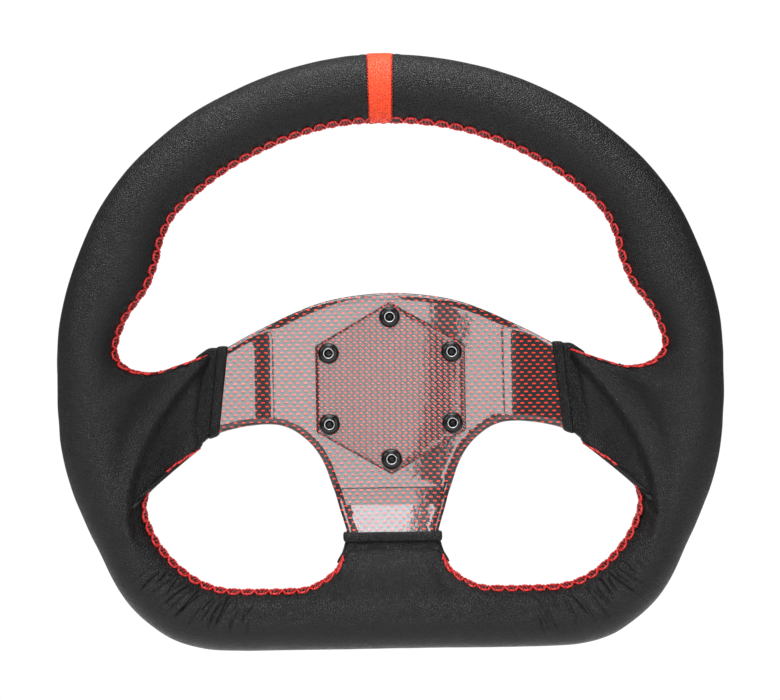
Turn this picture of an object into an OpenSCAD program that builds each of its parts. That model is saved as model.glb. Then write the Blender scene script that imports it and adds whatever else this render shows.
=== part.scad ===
// Quick release steering wheel: a D-shaped, leather wrapped competition wheel
// on a splined, ball-locked hub that stays on the steering column.
//
// Frame: +Z is up with the wheel straight ahead, +X is to the driver's right,
// +Y runs forward along the steering axis, away from the driver.
// The origin is on the steering axis, at the face that bolts to the column boss.

/* [Rim] */
// Distance from the column face to the middle of the rim
rim_offset = 88; // [84:1:100]
// Depth of the grip from the driver's side to the back
grip_depth = 30; // [28:0.5:32]
// Thickness of the leather
leather_t = 1.3; // [1:0.1:1.6]
// Width of the coloured centring band at the top
marker_w = 11.8; // [8:0.2:14]
// How far the centring band stands out of the leather
marker_proud = 0.5; // [0.2:0.1:1]
// Diameter of the bar inside the rim
core_d = 12; // [8:0.5:12]

/* [Spoke plate] */
// Distance from the column face to the back of the spoke plate
plate_back = 54; // [54:0.5:56]
// Thickness of the carbon spoke plate
plate_t = 5; // [4:0.5:5]
// Distance across the flats of the hexagonal cover
hex_af = 73.8; // [72:0.2:80]
// Thickness of the hexagonal cover
hex_t = 3; // [2:0.5:4]
// Thickness of the leather cuffs round the spokes
cuff_t = 1.8; // [1:0.1:2]

/* [Hub bolts] */
// Bolt circle of the six wheel bolts and of the six column bolts
bolt_pcd = 70; // [70:0.5:74]
// Thread diameter of the bolts
bolt_d = 5; // [4:0.5:5]

/* [Quick release] */
// Outside diameter of both flanges
flange_d = 84; // [82:0.5:86]
// Thickness of the flanges
flange_t = 8; // [7:0.5:8]
// Number of spline teeth
teeth = 18; // [12:1:20]
// Diameter of the locking balls
ball_d = 7; // [7:0.1:7]
// Travel of the release ring towards the driver
ring_travel = 7; // [5:0.5:7]

/* [Hidden] */
e = 0.01;
big = 400;
yr = -rim_offset;              // rim's middle plane
hd = grip_depth / 2;           // half depth of the grip
yb = -plate_back;              // back of the spoke plate
yf = yb - plate_t;             // driver's side of the spoke plate
bolt_r = bolt_pcd / 2;

// ---- Quick release dimensions, as distances d in front of the column face
spig_r = 18;                   // plain part of the spigot
root_r = 18.6;                 // spline root
tip_r = 20.5;                  // spline tip
fit = 0.05;                    // running clearance on radius
ball_at = 30;                  // plane of the balls
ball_r = ball_d / 2;
sleeve_r = 23.1;               // outside of the adapter's sleeve
ball_c = 19.65;                // radius of the ball centres when locked
ball_out = 2.05;               // outward travel of a ball at full release
cam = ball_out / ring_travel;  // slope of the ring's inner cone

// Everything of the hub is drawn along +Z and then laid along -Y.
module along() { rotate([90, 0, 0]) children(); }
// A ring of things on the bolt circle, with one straight up.
module six(r = bolt_r) { for (i = [0:5]) rotate([0, 0, 90 + 60 * i]) translate([r, 0, 0]) children(); }
module disc(r, z0, z1) { translate([0, 0, z0]) cylinder(r = r, h = z1 - z0, $fn = 96); }
// Toothed outline: a circle with square teeth.
module toothed(rr, rt, w) {
    circle(r = rr, $fn = 96);
    for (i = [0:teeth - 1]) rotate(i * 360 / teeth) translate([0, -w / 2]) square([rt, w]);
}

// ---------------------------------------------------------------- column half
module column_hub() color([0.10, 0.10, 0.11]) along() difference() {
    union() {
        disc(flange_d / 2, 0, flange_t);
        translate([0, 0, flange_t - 1]) linear_extrude(height = 15)
            toothed(root_r, tip_r, 3);
        // neck, ball groove, lip and tapered nose
        rotate_extrude($fn = 96) polygon([[0, 21], [spig_r, 21],
            [spig_r, 23.7], [16.2, 23.7], [16.2, 25.5], [spig_r, 25.5],
            [spig_r, ball_at - 3.6], [16, ball_at - 1.4], [16, ball_at + 1.4], [spig_r, ball_at + 3.6],
            [spig_r, 36], [16.5, 37], [0, 37]]);
    }
    disc(13, -1, 40);                                   // way through for the horn wire
    six() { translate([0, 0, -1]) cylinder(d = bolt_d + 0.5, h = 20, $fn = 32);
            translate([0, 0, flange_t - 2.6]) cylinder(r1 = 2.75, r2 = 5.4, h = 2.65, $fn = 32); }
    // lightening scallops between the bolts
    for (i = [0:5]) rotate([0, 0, 60 + 60 * i]) translate([flange_d / 2 + 7, 0, -1])
        cylinder(r = 12, h = 20, $fn = 48);
}

module hub_seal_ring() color([0.08, 0.08, 0.08]) along()
    translate([0, 0, 24.6]) rotate_extrude($fn = 96) translate([17.1, 0]) circle(r = 0.85, $fn = 24);

// ---------------------------------------------------------------- wheel half
module wheel_adapter() color([0.72, 0.16, 0.12]) along() difference() {
    union() {
        disc(sleeve_r, 9, plate_back - flange_t + 1);
        disc(flange_d / 2, plate_back - flange_t, plate_back);
    }
    translate([0, 0, 8]) linear_extrude(height = 15) toothed(root_r + fit, tip_r + fit, 3.08);
    disc(21, 22.4, 23.6);
    disc(spig_r + 0.08, 8, 41);
    disc(15, 40, 60);
    // groove of the retaining clip
    translate([0, 0, 11]) difference() {
        cylinder(r = 26, h = 1.6, $fn = 96);
        translate([0, 0, -1]) cylinder(r = 21.95, h = 4, $fn = 96);
    }
    for (i = [0:5]) rotate([0, 0, 60 * i + 10]) translate([0, 0, ball_at])
        rotate([0, 90, 0]) translate([0, 0, 10]) cylinder(r = ball_r + 0.05, h = 20, $fn = 48);
    six() translate([0, 0, 40]) cylinder(d = bolt_d, h = 20, $fn = 32);
}

// Release ring: two guide lands, and between them the cone that lets the balls out.
module release_ring() color([0.72, 0.73, 0.75]) along() difference() {
    rotate_extrude($fn = 96) polygon([
        [sleeve_r + fit, 13], [31, 13], [32, 14], [32, 28], [37, 31], [38, 32], [38, 37], [37, 38],
        [28.9, 38], [28.9, 32], [25.9, 32], [25.9, 38], [sleeve_r + fit, 38],
        [sleeve_r + fit, ball_at + 0.68], [25.85, ball_at - 8.5], [25.85, 20], [sleeve_r + fit, 19]]);
    // finger grooves
    for (i = [0:23]) rotate([0, 0, 15 * i]) translate([39.4, 0, 26]) cylinder(r = 2.2, h = 14, $fn = 24);
}

module release_spring() color([0.75, 0.76, 0.78]) along()
    coil(27.4, 0.7, 32.75, plate_back - flange_t - 0.75, 3.5);

// Helical coil swept with 8 sides.
module coil(r, w, z0, z1, turns) {
    n = ceil(turns * 18);
    pts = [for (i = [0:n]) let (a = 360 * turns * i / n, z = z0 + (z1 - z0) * i / n)
        for (k = [0:7]) let (b = 45 * k) [(r + w * cos(b)) * cos(a), (r + w * cos(b)) * sin(a), z + w * sin(b)]];
    polyhedron(pts, concat(
        [for (i = [0:n - 1]) for (k = [0:7]) let (q = (k + 1) % 8) [i * 8 + k, i * 8 + q, i * 8 + 8 + q, i * 8 + 8 + k]],
        [[for (k = [7:-1:0]) k]], [[for (k = [0:7]) n * 8 + k]]), convexity = 8);
}

module retaining_clip() color([0.55, 0.56, 0.58]) along() translate([0, 0, 11.05]) difference() {
    cylinder(r = 25.2, h = 1.5, $fn = 96);
    translate([0, 0, -1]) cylinder(r = 22, h = 4, $fn = 96);
    translate([0, 0, -1]) rotate([0, 0, 100]) translate([15, -3, 0]) cube([20, 6, 4]);
}

module lock_ball(i) color([0.82, 0.83, 0.85]) along() rotate([0, 0, 60 * (i - 1) + 10])
    translate([ball_c, 0, ball_at]) sphere(r = ball_r, $fn = 48);
module lock_ball_1() lock_ball(1);
module lock_ball_2() lock_ball(2);
module lock_ball_3() lock_ball(3);
module lock_ball_4() lock_ball(4);
module lock_ball_5() lock_ball(5);
module lock_ball_6() lock_ball(6);

// ---------------------------------------------------------------- spoke plate
// Right half of the plate's outline, from the top centre round to the bottom centre.
plate_half = [[0, 46.8], [7, 46.5], [13, 45.8], [20, 44.8], [27.5, 43.3], [34, 41.6], [40.5, 39.4],
    [50, 35.4], [60, 30.6], [70, 25.6], [78, 21.3], [85, 18], [88, 13.5], [100, 8.5], [113, 5], [150, 5],
    [150, -20], [100, -20], [89, -17], [87, -22], [84, -20.8], [79, -19.4], [73, -18.2], [67, -17.5], [61.5, -17.2],
    [55, -17.8], [49, -20], [43.5, -23.8], [38.8, -28.4], [35.1, -33.8], [32.3, -39.8], [30.2, -46],
    [27.9, -52.5], [26, -59], [24.2, -64.5], [22.6, -70], [22.2, -76], [18, -81], [18, -118]];
function mirrored(p) = [for (i = [len(p) - 1:-1:0]) if (p[i][0] > 0.001) [-p[i][0], p[i][1]]];
arm_rise = rim_offset - core_d / 2 - plate_back - plate_t;  // how far the arms come forward to lie on the bar
side_bend = 62;                // where the side arms leave the flat
side_flat = 128;
low_bend = 52;                 // where the lower arm leaves the flat
low_flat = 96;

// Sheet bent along the arms: g is extra thickness on both faces.
module side_sheet(g = 0, h = 300) translate([0, 0, -h / 2]) linear_extrude(height = h) polygon([
    [-180, yf - arm_rise - g], [-side_flat, yf - arm_rise - g], [-side_bend, yf - g],
    [side_bend, yf - g], [side_flat, yf - arm_rise - g], [180, yf - arm_rise - g],
    [180, yb - arm_rise + g], [side_flat + 1.2, yb - arm_rise + g], [side_bend + 1.2, yb + g],
    [-side_bend - 1.2, yb + g], [-side_flat - 1.2, yb - arm_rise + g], [-180, yb - arm_rise + g]]);
module low_sheet(g = 0) translate([-60, 0, 0]) rotate([90, 0, 90]) linear_extrude(height = 120) polygon([
    [yf - g, 0], [yf - g, -low_bend], [yf - arm_rise - g, -low_flat], [yf - arm_rise - g, -140],
    [yb - arm_rise + g, -140], [yb - arm_rise + g, -low_flat - 1.5], [yb + g, -low_bend - 1.5], [yb + g, 0]]);
module outline_prism(p) rotate([90, 0, 0]) translate([0, 0, 0]) linear_extrude(height = 140) polygon(p);

module plate_blank() {
    full = concat(plate_half, mirrored(plate_half));
    intersection() {
        outline_prism(full);
        union() {
            intersection() { side_sheet(0); translate([-200, -200, -40]) cube([400, 300, 200]); }
            intersection() { low_sheet(0); translate([-60, -200, -200]) cube([120, 300, 160 + e]); }
        }
    }
}
module spoke_plate() color([0.13, 0.12, 0.12]) difference() {
    plate_blank();
    along() six() disc(bolt_d / 2 + 0.25, 40, 70);
    along() disc(15, 40, 70);
    screw_places() translate([0, 0, -20]) cylinder(d = 5.2, h = 40, $fn = 32);
}

// Hexagonal cover with bevelled edges and a corner at the top.
module hex_cover() color([0.13, 0.12, 0.12]) along() translate([0, 0, -yf]) difference() {
    intersection_for(i = [0:2]) rotate([0, 0, 60 * i + 30]) rotate([90, 0, 90]) translate([0, 0, -60])
        linear_extrude(height = 120) polygon([[-hex_af / 2, 0], [hex_af / 2, 0], [hex_af / 2, hex_t - 1],
            [hex_af / 2 - 1, hex_t], [-hex_af / 2 + 1, hex_t], [-hex_af / 2, hex_t - 1]]);
    six() disc(bolt_d / 2 + 0.25, -5, 5);
    difference() { disc(60, -5, 5); disc(42, -6, 6); }
}

// Six button head screws through cover and plate into the adapter.
module cover_bolts() color([0.07, 0.07, 0.07]) along() translate([0, 0, -yf + hex_t]) six() difference() {
    union() {
        intersection() {
            translate([0, 0, -2.4]) sphere(r = 5.3, $fn = 64);
            cylinder(r = 4.75, h = 2.8, $fn = 48);
        }
        translate([0, 0, -16]) cylinder(d = bolt_d, h = 16.5, $fn = 32);
    }
    translate([0, 0, 1]) cylinder(r = 3 / sqrt(3), h = 5, $fn = 6);
}

// ---------------------------------------------------------------- rim sections
// Right half of the ring, from the centring band at the top to the bottom centre.
// Each row: inner edge x, z; outer edge x, z; width of the round grip there;
// pad weight, 0 on the plain grip and 1 where the grip spreads over a spoke.
ring_half = [
    [6, 128.6, 6, 160.7, 32, 0], [15, 128.2, 18, 160, 32, 0], [28.6, 126.2, 36, 157, 31.7, 0],
    [43.7, 122.2, 55, 151.8, 31.7, 0], [59.8, 115.9, 74.5, 144, 31.7, 0], [77, 106.7, 96, 132, 31.6, 0],
    [92, 95.6, 115.2, 116.8, 31.4, 0], [103, 85, 128, 103.5, 31.1, 0], [109, 73.5, 139, 88, 33.3, 0],
    [111.8, 62, 147.5, 70.5, 36.7, 0], [117, 49.5, 154.3, 52, 37.4, 0], [127, 35.5, 158.6, 34, 31.6, 0],
    [131.9, 20, 160, 18, 28.2, 0], [126.3, 11.5, 160, 8, 30, 0.15], [114, 9.2, 160.1, 1, 31, 0.45],
    [101.5, 12.9, 160.1, -6, 32, 0.8], [89, 17.6, 159.6, -14, 33, 1], [88.6, 9.8, 159, -23, 33, 1],
    [89.6, 0, 157, -35, 33.5, 1], [90.9, -10.5, 153.3, -48, 34, 1], [92.2, -20.5, 149.3, -58, 34.3, 1],
    [94, -28.3, 145, -68, 34.7, 0.95], [106.2, -36.1, 141.8, -74.5, 35, 0.6], [116, -45.5, 139, -80.5, 35.5, 0.25],
    [118.7, -56.4, 135.6, -88, 35.8, 0], [114.8, -68.6, 131.4, -95.5, 31.6, 0], [108, -78.7, 125.5, -103.5, 30.3, 0],
    [99.7, -86.7, 117, -111.5, 30.2, 0], [90.4, -92.5, 105, -119.3, 30.5, 0], [80, -95.4, 90, -123.6, 29.9, 0],
    [66, -96, 72, -124.6, 29.2, 0], [52, -96, 55, -124.6, 28.7, 0], [42, -95.3, 43, -124.6, 29.3, 0],
    [34.1, -92.3, 34, -124.6, 29.3, 0.2], [27.4, -87.3, 27, -124.6, 29, 0.5], [24, -81.5, 20.5, -124.6, 28.8, 0.85],
    [20, -77.6, 15, -124.6, 28.7, 1], [0, -77.4, 0, -124.6, 28.6, 1]];
function flip(r) = [-r[0], r[1], -r[2], r[3], r[4], r[5]];
// Whole ring of rows, from the right of the band, down, and up to the left of it.
ring_rows = concat(ring_half, [for (i = [len(ring_half) - 2:-1:0]) flip(ring_half[i])]);

// Smooth curve through rows of numbers, with k steps between neighbours.
function blend4(a, b, c, d, t) = 0.5 * (2 * b + (c - a) * t + (2 * a - 5 * b + 4 * c - d) * t * t + (3 * b - a - 3 * c + d) * t * t * t);
function smooth_open(r, k) = let (n = len(r)) concat([for (i = [0:n - 2]) for (j = [0:k - 1])
    blend4(r[max(i - 1, 0)], r[i], r[i + 1], r[min(i + 2, n - 1)], j / k)], [r[n - 1]]);
rows2 = smooth_open(ring_rows, 2);

function ease(x) = let (c = min(max(x, 0), 1)) c * c * (3 - 2 * c);
function half_round(x) = sqrt(max(0, 1 - x * x));
// Set-back of the spoke at the pad's inner edge.
function set_back(r) = rim_offset - plate_back - plate_t / 2 - arm_rise * (r[1] < -70 ? 0.577 : 0.424);
sides = 14;
// One closed section of the grip, d inside the leather's outer surface.
function section(r, d) =
    let (v = [r[2] - r[0], r[3] - r[1]], l0 = norm(v), u = v / l0, len1 = l0 - 2 * d,
        tr = 1 - (r[4] / 2 - d) / len1, p = min(max(r[5], 0), 1), h0 = hd - d, h1 = 8 - d, rad = 7 - d)
    [for (k = [0:sides - 1]) let (a = 360 * k / sides, t = (1 - cos(a)) / 2, s = t * len1,
        x = tr > 0 ? t / tr : 1,
        plain = h0 * half_round(1 - min(x, 1)),
        pad = (h1 + (h0 - h1) * ease(x)) * (s < rad ? half_round(1 - s / rad) : 1),
        h = t > tr ? h0 * half_round((t - tr) / (1 - tr)) : (1 - p) * plain + p * pad,
        yc = yr + p * set_back(r) * (1 - ease(x)))
        [r[0] + u[0] * (d + s), yc + (sin(a) >= 0 ? -h : h), r[1] + u[1] * (d + s)]];

// Closed skin through a list of sections: a ring, or an open length with ends.
module skin(secs, ring = false) {
    m = len(secs[0]);
    n = len(secs);
    pts = [for (s = secs) for (q = s) q];
    last = ring ? n - 1 : n - 2;
    walls = [for (i = [0:last]) for (k = [0:m - 1]) let (j = (i + 1) % n, q = (k + 1) % m)
        each [[i * m + k, j * m + q, j * m + k], [i * m + k, i * m + q, j * m + q]]];
    ends = ring ? [] : [[for (k = [0:m - 1]) (n - 1) * m + k], [for (k = [m - 1:-1:0]) k]];
    polyhedron(pts, concat(walls, ends), convexity = 12);
}

// Bar inside the rim: it follows the crest of the grip.
function crest(r) = let (v = [r[2] - r[0], r[3] - r[1]], u = v / norm(v)) [r[2] - u[0] * r[4] / 2, r[3] - u[1] * r[4] / 2];
crest_pts = [for (r = ring_rows) crest(r)];
function round_section(p, q, c, rad, y, m) = let (t = (q - p) / norm(q - p), nrm = [t[1], -t[0]])
    [for (k = [0:m - 1]) let (a = 360 * k / m) [c[0] + nrm[0] * rad * cos(a), y - rad * sin(a), c[1] + nrm[1] * rad * cos(a)]];
core_secs = let (n = len(crest_pts)) [for (i = [0:n - 1])
    round_section(crest_pts[(i + n - 1) % n], crest_pts[(i + 1) % n], crest_pts[i], core_d / 2, yr, 10)];
module core_bar() skin(core_secs, ring = true);

// Screws that hold the plate's arms against the back of the bar.
screw_xz = [[145, 1], [144.2, -14], [-145, 1], [-144.2, -14], [10, -110.3], [-10, -110.3]];
module screw_places() for (p = screw_xz) translate([p[0], yb - arm_rise, p[1]]) rotate([90, 0, 0]) children();
module core_screws() color([0.6, 0.6, 0.62]) screw_places() {
    translate([0, 0, -1.1]) cylinder(r = 3.2, h = 1.1, $fn = 32);
    translate([0, 0, -1]) cylinder(r = 2.5, h = 11, $fn = 32);
}
module rim_core() color([0.70, 0.71, 0.73]) difference() {
    core_bar();
    screw_places() translate([0, 0, -1]) cylinder(r = 2.55, h = 11.05, $fn = 32);
}

module foam_grip() color([0.22, 0.22, 0.22]) resize([0, 0, 0]) difference() {
    skin([for (r = rows2) section(r, leather_t + 0.1)], ring = true);
    core_bar();
    plate_blank();
    screw_places() { translate([0, 0, -1.15]) cylinder(r = 3.25, h = 1.2, $fn = 32);
        translate([0, 0, -1]) cylinder(r = 2.55, h = 11.05, $fn = 32); }
}

module leather_wrap() color([0.09, 0.09, 0.095]) resize([0, 0, 0]) difference() {
    skin([for (r = rows2) section(r, 0)]);
    skin(concat([ahead(section(rows2[0], leather_t), -1)], [for (r = rows2) section(r, leather_t)],
        [ahead(section(rows2[len(rows2) - 1], leather_t), 1)]));
    plate_blank();
}
function ahead(s, dx) = [for (q = s) [q[0] + dx, q[1], q[2]]];

// Coloured band that shows where straight ahead is.
band_rows = [for (x = [-1, 0, 1]) [x * marker_w / 2, 128.6, x * marker_w / 2, 160.75 + (x == 0 ? 0.1 : 0), 32.1, 0]];
module centre_marker() color([0.93, 0.24, 0.10]) difference() {
    skin([for (r = band_rows) section(r, -marker_proud)]);
    skin(concat([ahead(section(band_rows[0], leather_t), -1)], [for (r = band_rows) section(r, leather_t)],
        [ahead(section(band_rows[2], leather_t), 1)]));
}

// ---------------------------------------------------------------- cuffs
// Leather strip folded round a spoke where it leaves the grip.
module cuff_side() difference() {
    intersection() {
        outline_prism([[79.6, 22.6], [87.4, 19.4], [91.2, -23], [84.4, -22.6]]);
        side_sheet(cuff_t);
    }
    plate_blank();
}
module cuff_right() color([0.10, 0.10, 0.105]) cuff_side();
module cuff_left() color([0.10, 0.10, 0.105]) mirror([1, 0, 0]) cuff_side();
module cuff_bottom() color([0.10, 0.10, 0.105]) difference() {
    intersection() {
        outline_prism([[-23.9, -70.4], [23.9, -70.4], [24.4, -77.2], [-24.4, -77.2]]);
        low_sheet(cuff_t);
    }
    plate_blank();
}

// ---------------------------------------------------------------- stitching
// Thread line along the inner edge of an opening.
thread_r = 0.8;
function edge_point(r, x = 0) = let (v = [r[2] - r[0], r[3] - r[1]], u = v / norm(v), o = thread_r + 0.08 + (abs(r[0]) < 9 && r[1] > 0 ? marker_proud + 0.05 : 0))
    [r[0] - u[0] * o, yr + min(max(r[5], 0), 1) * set_back(r), r[1] - u[1] * o];
module thread(rows) {
    c = [for (r = rows) edge_point(r)];
    n = len(c);
    skin([for (i = [0:n - 1]) let (a = c[max(i - 1, 0)], b = c[min(i + 1, n - 1)], t = (b - a) / norm(b - a),
        s = cross(t, [0, 1, 0]), n1 = s / norm(s), n2 = cross(n1, t))
        [for (k = [0:5]) c[i] + thread_r * (cos(60 * k) * n1 + sin(60 * k) * n2)]]);
}
top_rows = smooth_open(concat([for (i = [15:-1:0]) flip(ring_half[i])], [for (i = [0:15]) ring_half[i]]), 2);
low_rows = smooth_open([for (i = [21:35]) ring_half[i]], 3);
module stitching_top() color([0.80, 0.10, 0.08]) thread(top_rows);
module stitching_lower_right() color([0.80, 0.10, 0.08]) thread(low_rows);
module stitching_lower_left() color([0.80, 0.10, 0.08]) mirror([1, 0, 0]) thread(low_rows);

column_hub();
hub_seal_ring();
wheel_adapter();
release_ring();
release_spring();
retaining_clip();
lock_ball_1();
lock_ball_2();
lock_ball_3();
lock_ball_4();
lock_ball_5();
lock_ball_6();
spoke_plate();
hex_cover();
cover_bolts();
rim_core();
core_screws();
foam_grip();
leather_wrap();
centre_marker();
cuff_left();
cuff_right();
cuff_bottom();
stitching_top();
stitching_lower_left();
stitching_lower_right();
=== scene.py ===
import bpy, bmesh, math
import numpy as np
from mathutils import Vector, Matrix
from mathutils.geometry import delaunay_2d_cdt


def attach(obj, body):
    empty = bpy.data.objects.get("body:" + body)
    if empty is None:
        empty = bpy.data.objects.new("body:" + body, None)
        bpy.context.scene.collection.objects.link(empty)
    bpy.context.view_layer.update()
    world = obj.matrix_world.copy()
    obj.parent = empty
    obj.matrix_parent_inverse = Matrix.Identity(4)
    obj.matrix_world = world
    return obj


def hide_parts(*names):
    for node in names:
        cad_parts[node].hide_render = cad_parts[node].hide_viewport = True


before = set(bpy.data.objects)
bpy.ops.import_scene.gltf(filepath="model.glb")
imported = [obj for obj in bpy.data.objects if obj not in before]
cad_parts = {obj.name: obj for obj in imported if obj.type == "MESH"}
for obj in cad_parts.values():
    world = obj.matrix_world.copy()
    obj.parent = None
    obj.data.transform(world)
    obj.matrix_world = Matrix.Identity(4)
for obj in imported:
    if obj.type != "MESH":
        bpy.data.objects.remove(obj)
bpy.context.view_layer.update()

MM = 0.001

# ------------------------------------------------------------------ mesh helpers
def mesh_obj(name, verts, faces, mats=None, smooth=True, face_mat=None):
    me = bpy.data.meshes.new(name)
    v = np.asarray(verts, dtype=np.float64) * MM
    me.from_pydata([tuple(p) for p in v], [], [tuple(int(i) for i in f) for f in faces])
    me.validate()
    if smooth:
        me.polygons.foreach_set("use_smooth", [True] * len(me.polygons))
    for m in (mats or []):
        me.materials.append(m)
    if face_mat is not None:
        me.polygons.foreach_set("material_index", [int(i) for i in face_mat])
    me.update()
    ob = bpy.data.objects.new(name, me)
    bpy.context.scene.collection.objects.link(ob)
    return ob

def grid_faces(n, m, closed_n, closed_m, flip=False):
    f = []
    for i in range(n if closed_n else n - 1):
        j = (i + 1) % n
        for k in range(m if closed_m else m - 1):
            q = (k + 1) % m
            a = (i * m + k, i * m + q, j * m + q, j * m + k)
            f.append(a[::-1] if flip else a)
    return f

def fix_normals(ob):
    bm = bmesh.new()
    bm.from_mesh(ob.data)
    bmesh.ops.recalc_face_normals(bm, faces=bm.faces)
    bm.to_mesh(ob.data)
    bm.free()
    ob.data.update()

def join_meshes(parts):
    """(verts, faces) pairs into one pair."""
    V, F, o = [], [], 0
    for v, f in parts:
        V.append(np.asarray(v, float))
        F += [tuple(i + o for i in q) for q in f]
        o += len(v)
    return np.vstack(V), F

def tube_along(c, rad, sides=8, closed=False, caps=True, ref=None):
    """Round thread swept along points c."""
    c = np.asarray(c, float)
    n = len(c)
    r = np.broadcast_to(np.asarray(rad, float), (n,))
    if closed:
        t = np.roll(c, -1, 0) - np.roll(c, 1, 0)
    else:
        t = np.gradient(c, axis=0)
    t /= np.linalg.norm(t, axis=1)[:, None] + 1e-12
    u = np.array(ref if ref is not None else [0.0, 1.0, 0.0])
    s = np.cross(t, u)
    bad = np.linalg.norm(s, axis=1) < 1e-3
    s[bad] = np.cross(t[bad], [1.0, 0.0, 0.0])
    s /= np.linalg.norm(s, axis=1)[:, None]
    w = np.cross(s, t)
    a = np.arange(sides) * 2 * np.pi / sides
    V = c[:, None] + r[:, None, None] * (np.cos(a)[None, :, None] * s[:, None] + np.sin(a)[None, :, None] * w[:, None])
    V = V.reshape(-1, 3)
    F = grid_faces(n, sides, closed, True)
    if caps and not closed:
        F.append(tuple(range(sides)))
        F.append(tuple((n - 1) * sides + k for k in range(sides - 1, -1, -1)))
    return V, F

def smooth_rows(r, counts):
    """Catmull-Rom through rows; counts[i] steps between row i and i + 1."""
    r = np.asarray(r, float)
    n = len(r)
    out = []
    for i in range(n - 1):
        a, b, c, d = r[max(i - 1, 0)], r[i], r[i + 1], r[min(i + 2, n - 1)]
        k = counts[i]
        t = (np.arange(k) / k)[:, None]
        out.append(0.5 * (2 * b + (c - a) * t + (2 * a - 5 * b + 4 * c - d) * t * t + (3 * b - a - 3 * c + d) * t ** 3))
    out.append(r[-1][None])
    return np.vstack(out)

def ease(x):
    c = np.clip(x, 0, 1)
    return c * c * (3 - 2 * c)

def vnoise(p, scale, seed=0):
    """Smooth value noise of points p (n, k), made from hashed lattice values."""
    q = np.asarray(p, float) / scale + 100.0
    i = np.floor(q).astype(np.int64)
    f = q - i
    f = f * f * (3 - 2 * f)
    k = q.shape[1]
    tot = np.zeros(len(q))
    for c in range(2 ** k):
        w = np.ones(len(q))
        h = np.full(len(q), 1013904223 + seed * 7919, dtype=np.uint64)
        for d in range(k):
            b = (c >> d) & 1
            w *= f[:, d] if b else 1 - f[:, d]
            h = (h ^ (i[:, d] + b).astype(np.uint64)) * np.uint64(2654435761 + 40503 * d)
            h ^= h >> np.uint64(15)
        tot += w * ((h & np.uint64(0xffff)).astype(float) / 65535.0)
    return tot * 2 - 1

# ------------------------------------------------------------------ node helpers
def new_mat(name):
    m = bpy.data.materials.new(name)
    m.use_nodes = True
    nt = m.node_tree
    for n in list(nt.nodes):
        nt.nodes.remove(n)
    out = nt.nodes.new("ShaderNodeOutputMaterial")
    b = nt.nodes.new("ShaderNodeBsdfPrincipled")
    nt.links.new(b.outputs[0], out.inputs[0])
    return m, nt, b

class G:
    """Small graph builder: each call makes a node and returns its output."""
    def __init__(self, nt):
        self.nt = nt
        self.co = nt.nodes.new("ShaderNodeTexCoord").outputs["Object"]
    def _set(self, sock, v):
        if isinstance(v, bpy.types.NodeSocket):
            self.nt.links.new(v, sock)
        elif v is not None:
            sock.default_value = v
    def math(self, op, a, b=None, c=None, clamp=False):
        n = self.nt.nodes.new("ShaderNodeMath")
        n.operation = op
        n.use_clamp = clamp
        self._set(n.inputs[0], a)
        if b is not None: self._set(n.inputs[1], b)
        if c is not None: self._set(n.inputs[2], c)
        return n.outputs[0]
    def xyz(self, v=None):
        n = self.nt.nodes.new("ShaderNodeSeparateXYZ")
        self._set(n.inputs[0], v if v is not None else self.co)
        return n.outputs[0], n.outputs[1], n.outputs[2]
    def combine(self, x, y, z):
        n = self.nt.nodes.new("ShaderNodeCombineXYZ")
        self._set(n.inputs[0], x); self._set(n.inputs[1], y); self._set(n.inputs[2], z)
        return n.outputs[0]
    def noise(self, scale, detail=2.0, rough=0.5, vec=None, dist=0.0):
        n = self.nt.nodes.new("ShaderNodeTexNoise")
        self._set(n.inputs["Vector"], vec if vec is not None else self.co)
        n.inputs["Scale"].default_value = scale
        n.inputs["Detail"].default_value = detail
        n.inputs["Roughness"].default_value = rough
        n.inputs["Distortion"].default_value = dist
        return n.outputs[0]
    def voronoi(self, scale, feature="F1", vec=None, rand=1.0):
        n = self.nt.nodes.new("ShaderNodeTexVoronoi")
        n.feature = feature
        self._set(n.inputs["Vector"], vec if vec is not None else self.co)
        n.inputs["Scale"].default_value = scale
        n.inputs["Randomness"].default_value = rand
        return n.outputs["Distance"]
    def ramp(self, fac, stops):
        n = self.nt.nodes.new("ShaderNodeValToRGB")
        self._set(n.inputs[0], fac)
        el = n.color_ramp.elements
        while len(el) > len(stops): el.remove(el[-1])
        while len(el) < len(stops): el.new(1.0)
        for e, (p, c) in zip(el, stops):
            e.position = p
            e.color = tuple(c) + ((1.0,) if len(c) == 3 else ())
        return n.outputs[0]
    def range(self, v, a, b, c, d, smooth=False):
        n = self.nt.nodes.new("ShaderNodeMapRange")
        if smooth: n.interpolation_type = "SMOOTHSTEP"
        self._set(n.inputs[0], v)
        for i, q in enumerate((a, b, c, d)): n.inputs[i + 1].default_value = q
        return n.outputs[0]
    def mix(self, fac, a, b, blend="MIX"):
        n = self.nt.nodes.new("ShaderNodeMix")
        n.data_type = "RGBA"
        n.blend_type = blend
        self._set(n.inputs[0], fac)
        ia = [i for i in n.inputs if i.name == "A" and i.type == "RGBA"][0]
        ib = [i for i in n.inputs if i.name == "B" and i.type == "RGBA"][0]
        for s, v in ((ia, a), (ib, b)):
            self._set(s, v if isinstance(v, bpy.types.NodeSocket) else tuple(v) + (1.0,))
        return [o for o in n.outputs if o.type == "RGBA"][0]
    def bump(self, h, strength, dist, normal=None):
        n = self.nt.nodes.new("ShaderNodeBump")
        n.inputs["Strength"].default_value = strength
        n.inputs["Distance"].default_value = dist
        self._set(n.inputs["Height"], h)
        if normal is not None: self._set(n.inputs["Normal"], normal)
        return n.outputs[0]
    def geo(self, what):
        return self.nt.nodes.new("ShaderNodeNewGeometry").outputs[what]

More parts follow.
